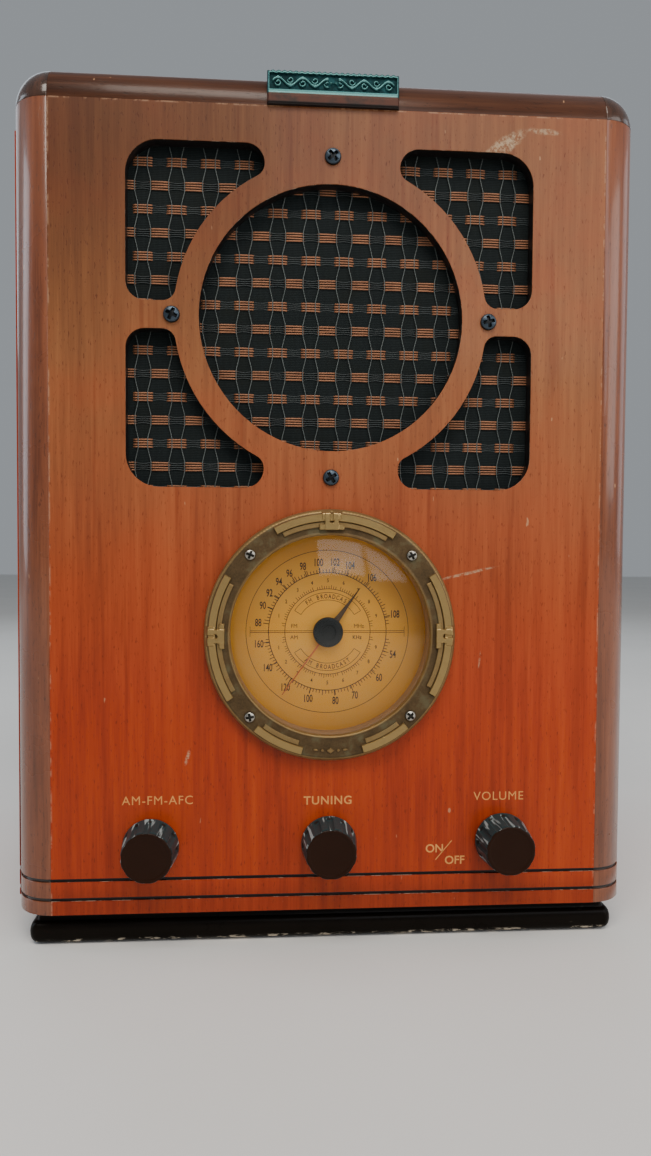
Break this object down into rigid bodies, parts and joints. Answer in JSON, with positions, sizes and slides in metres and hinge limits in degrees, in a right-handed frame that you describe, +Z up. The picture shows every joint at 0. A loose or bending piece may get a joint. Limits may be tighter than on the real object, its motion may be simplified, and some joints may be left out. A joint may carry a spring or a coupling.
{
  "type": "tabletop radio",
  "caption": "Upright wooden tabletop radio with a cloth loudspeaker grille, a round dial with a turning pointer, and fluted knobs.",
  "frame": {"origin": "centre of the footprint on the surface that the radio stands on", "axes": "+Z up, the front faces -Y, +X to the right of a person facing the front"},
  "size_m": [0.2366, 0.191, 0.3255],
  "materials": {
    "veneer": "glossy lacquer over mahogany veneer",
    "moulding": "glossy lacquer, browner than the panels",
    "inner_wood": "bare board",
    "hardboard": "bare hardboard",
    "black_lacquer": "black lacquer, worn pale at the lower edge",
    "felt": "felt",
    "antique_brass": "aged cast brass with green-grey patina",
    "steel": "plated steel",
    "black_steel": "black oxide",
    "brass": "turned brass",
    "grille_fabric": "woven, dark ground with copper and silver threads",
    "paper_cone": "pressed paper",
    "foam": "soft roll",
    "ferrite": "sintered ferrite",
    "clear_lens": "clear, polished",
    "dial_print": "amber printed plate",
    "pointer_paint": "orange and dark grey paint",
    "black_plastic": "polished black",
    "white_plastic": "moulded",
    "board_green": "circuit board with its parts",
    "copper_winding": "enamelled copper wire",
    "gland_rubber": "moulded"
  },
  "bodies": {
    "cabinet": {"back_panel": "hardboard", "back_screws": "steel", "badge": "antique_brass", "band_switch": "steel", "bezel_screws": "steel", "bottom_board": "inner_wood", "chassis_plate": "steel", "corner_post_left": "moulding", "corner_post_right": "moulding", "dial_bezel": "antique_brass", "dial_cord": "grille_fabric", "dial_face": "dial_print", "dial_housing": "black_plastic", "dial_lamp": "clear_lens", "dial_lens": "clear_lens", "ferrite_rod": "ferrite", "foot_pads": "felt", "front_panel": "veneer", "grille_cloth": "grille_fabric", "magnet_yoke": "steel", "main_board": "board_green", "mains_gland": "gland_rubber", "plinth": "black_lacquer", "rod_clips": "black_plastic", "rod_coil": "copper_winding", "shaft_nuts": "steel", "side_board_left": "veneer", "side_board_right": "veneer", "side_overlay_left": "veneer", "side_overlay_right": "veneer", "speaker_basket": "steel", "speaker_magnet": "ferrite", "speaker_nuts": "steel", "speaker_screws": "black_steel", "speaker_spider": "paper_cone", "speaker_surround": "foam", "spindle_bush": "steel", "top_corner_left": "moulding", "top_corner_right": "moulding", "top_front_rail": "moulding", "top_panel": "veneer", "top_side_rail_left": "moulding", "top_side_rail_right": "moulding", "transformer_coil": "copper_winding", "transformer_core": "steel", "tuning_capacitor": "white_plastic", "volume_control": "steel"},
    "dial_train": {"dial_shaft": "brass", "dial_drum": "white_plastic", "pointer": "pointer_paint", "pointer_hub": "black_plastic"},
    "tuning_train": {"knob_tuning": "black_plastic", "tuning_spindle": "steel"},
    "band_rotor": {"knob_band": "black_plastic", "band_shaft": "steel"},
    "volume_rotor": {"knob_volume": "black_plastic", "volume_shaft": "steel"},
    "cone_set": {"speaker_cone": "paper_cone", "dust_cap": "paper_cone", "voice_coil": "paper_cone"}
  },
  "joints": [
    {"name": "dial_turn", "type": "hinge", "parent": "cabinet", "child": "dial_train", "pos_m": [0, -0.082, 0.1178], "axis": [0, 1, 0], "range_deg": [-126, 54]},
    {"name": "tuning_turn", "type": "hinge", "parent": "cabinet", "child": "tuning_train", "pos_m": [0, -0.082, 0.039], "axis": [0, 1, 0], "range_deg": [-1134, 486]},
    {"name": "band_turn", "type": "hinge", "parent": "cabinet", "child": "band_rotor", "pos_m": [-0.0664, -0.082, 0.039], "axis": [0, 1, 0], "range_deg": [-30, 30]},
    {"name": "volume_turn", "type": "hinge", "parent": "cabinet", "child": "volume_rotor", "pos_m": [0.0664, -0.082, 0.039], "axis": [0, 1, 0], "range_deg": [0, 300]},
    {"name": "cone_travel", "type": "slide", "parent": "cabinet", "child": "cone_set", "axis": [0, 1, 0], "range_m": [-0.001, 0.001], "stiffness_N_per_m": 1200}
  ],
  "couplings": [
    {"joint": "tuning_turn", "follows": "dial_turn", "ratio": 9}
  ]
}
